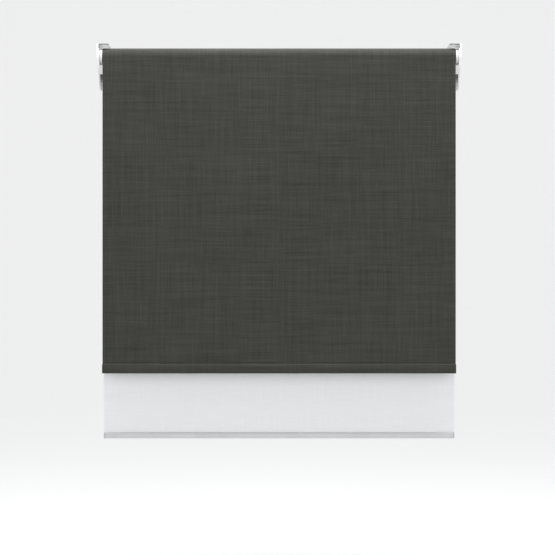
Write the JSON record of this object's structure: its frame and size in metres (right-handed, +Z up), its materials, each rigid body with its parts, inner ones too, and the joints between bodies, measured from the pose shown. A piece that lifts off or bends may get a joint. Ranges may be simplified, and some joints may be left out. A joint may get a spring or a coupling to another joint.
{
  "type": "double roller blind",
  "caption": "Double roller blind: a charcoal blackout fabric with a wrapped hem bar in front of a white sheer with a slim bar, on cordless sprung rollers in shared white-covered brackets.",
  "frame": {"origin": "centre of the four head-fixing holes, on the face that meets the recess head", "axes": "+X along the rollers, towards the brake end; -Y into the room; +Z up"},
  "size_m": [1, 0.09, 1.086],
  "materials": {
    "bracket_paint": "dark grey powder coat on sheet steel",
    "cover_plastic": "white moulded plastic, satin gloss",
    "housing_plastic": "white moulded plastic",
    "plug_plastic": "dark grey moulded nylon",
    "plated_steel": "zinc-plated steel",
    "spring_steel": "oiled spring steel",
    "tube_aluminium": "mill-finish extruded aluminium",
    "spline_plastic": "extruded plastic strip",
    "charcoal_fabric": "slub-woven blackout cloth, matt charcoal",
    "sheer_fabric": "fine white light-filtering cloth",
    "dark_cap_plastic": "charcoal moulded plastic",
    "bar_paint": "pale silver-grey satin coat on extruded aluminium",
    "light_cap_plastic": "pale grey moulded plastic"
  },
  "bodies": {
    "frame": {"left_bracket_plate": "bracket_paint", "right_bracket_plate": "bracket_paint", "left_bracket_cover": "cover_plastic", "right_bracket_cover": "cover_plastic", "front_brake_housing": "housing_plastic", "front_pin_housing": "housing_plastic", "front_brake_core": "plug_plastic", "front_mandrel": "plated_steel", "front_mandrel_clip": "plated_steel", "front_spring_hub": "plug_plastic", "front_lift_spring": "spring_steel", "rear_brake_housing": "housing_plastic", "rear_pin_housing": "housing_plastic", "rear_brake_core": "plug_plastic", "rear_mandrel": "plated_steel", "rear_mandrel_clip": "plated_steel", "rear_spring_hub": "plug_plastic", "rear_lift_spring": "spring_steel"},
    "front_roller": {"front_roller_tube": "tube_aluminium", "front_fabric_roll": "charcoal_fabric", "front_fabric_spline": "spline_plastic", "front_brake_adapter": "plug_plastic", "front_brake_springs": "spring_steel", "front_spring_anchor": "plug_plastic", "front_pin_plug": "plug_plastic", "front_pin_retainer": "plug_plastic", "front_pin_spring": "spring_steel"},
    "front_release_pin": {"front_pin": "plated_steel"},
    "rear_roller": {"rear_roller_tube": "tube_aluminium", "rear_fabric_roll": "sheer_fabric", "rear_fabric_spline": "spline_plastic", "rear_brake_adapter": "plug_plastic", "rear_brake_springs": "spring_steel", "rear_spring_anchor": "plug_plastic", "rear_pin_plug": "plug_plastic", "rear_pin_retainer": "plug_plastic", "rear_pin_spring": "spring_steel"},
    "rear_release_pin": {"rear_pin": "plated_steel"},
    "front_bar": {"front_fabric": "charcoal_fabric", "front_hem_pocket": "charcoal_fabric", "front_hem_bar": "tube_aluminium", "front_hem_plugs": "dark_cap_plastic"},
    "rear_bar": {"rear_fabric": "sheer_fabric", "rear_bottom_bar": "bar_paint", "rear_fabric_strip": "spline_plastic", "rear_bar_caps": "light_cap_plastic"}
  },
  "joints": [
    {"name": "front_roller_turn", "type": "hinge", "parent": "frame", "child": "front_roller", "pos_m": [0, -0.018, -0.034], "axis": [1, 0, 0], "range_deg": [-2010, 1093], "deforming": ["front_lift_spring"]},
    {"name": "front_bar_travel", "type": "slide", "parent": "frame", "child": "front_bar", "axis": [0, 0, -1], "range_m": [-0.8, 0.435], "deforming": ["front_fabric"]},
    {"name": "front_pin_press", "type": "slide", "parent": "front_roller", "child": "front_release_pin", "axis": [1, 0, 0], "range_m": [0, 0.007], "stiffness_N_per_m": 350, "springref_m": -0.008, "deforming": ["front_pin_spring"]},
    {"name": "rear_roller_turn", "type": "hinge", "parent": "frame", "child": "rear_roller", "pos_m": [0, 0.0175, -0.099], "axis": [1, 0, 0], "range_deg": [-2459, 675], "deforming": ["rear_lift_spring"]},
    {"name": "rear_bar_travel", "type": "slide", "parent": "frame", "child": "rear_bar", "axis": [0, 0, -1], "range_m": [-0.91, 0.25], "deforming": ["rear_fabric"]},
    {"name": "rear_pin_press", "type": "slide", "parent": "rear_roller", "child": "rear_release_pin", "axis": [1, 0, 0], "range_m": [0, 0.007], "stiffness_N_per_m": 350, "springref_m": -0.008, "deforming": ["rear_pin_spring"]}
  ],
  "couplings": [
    {"joint": "front_bar_travel", "follows": "front_roller_turn", "m_per_rad": 0.0228},
    {"joint": "rear_bar_travel", "follows": "rear_roller_turn", "m_per_rad": 0.0212}
  ]
}
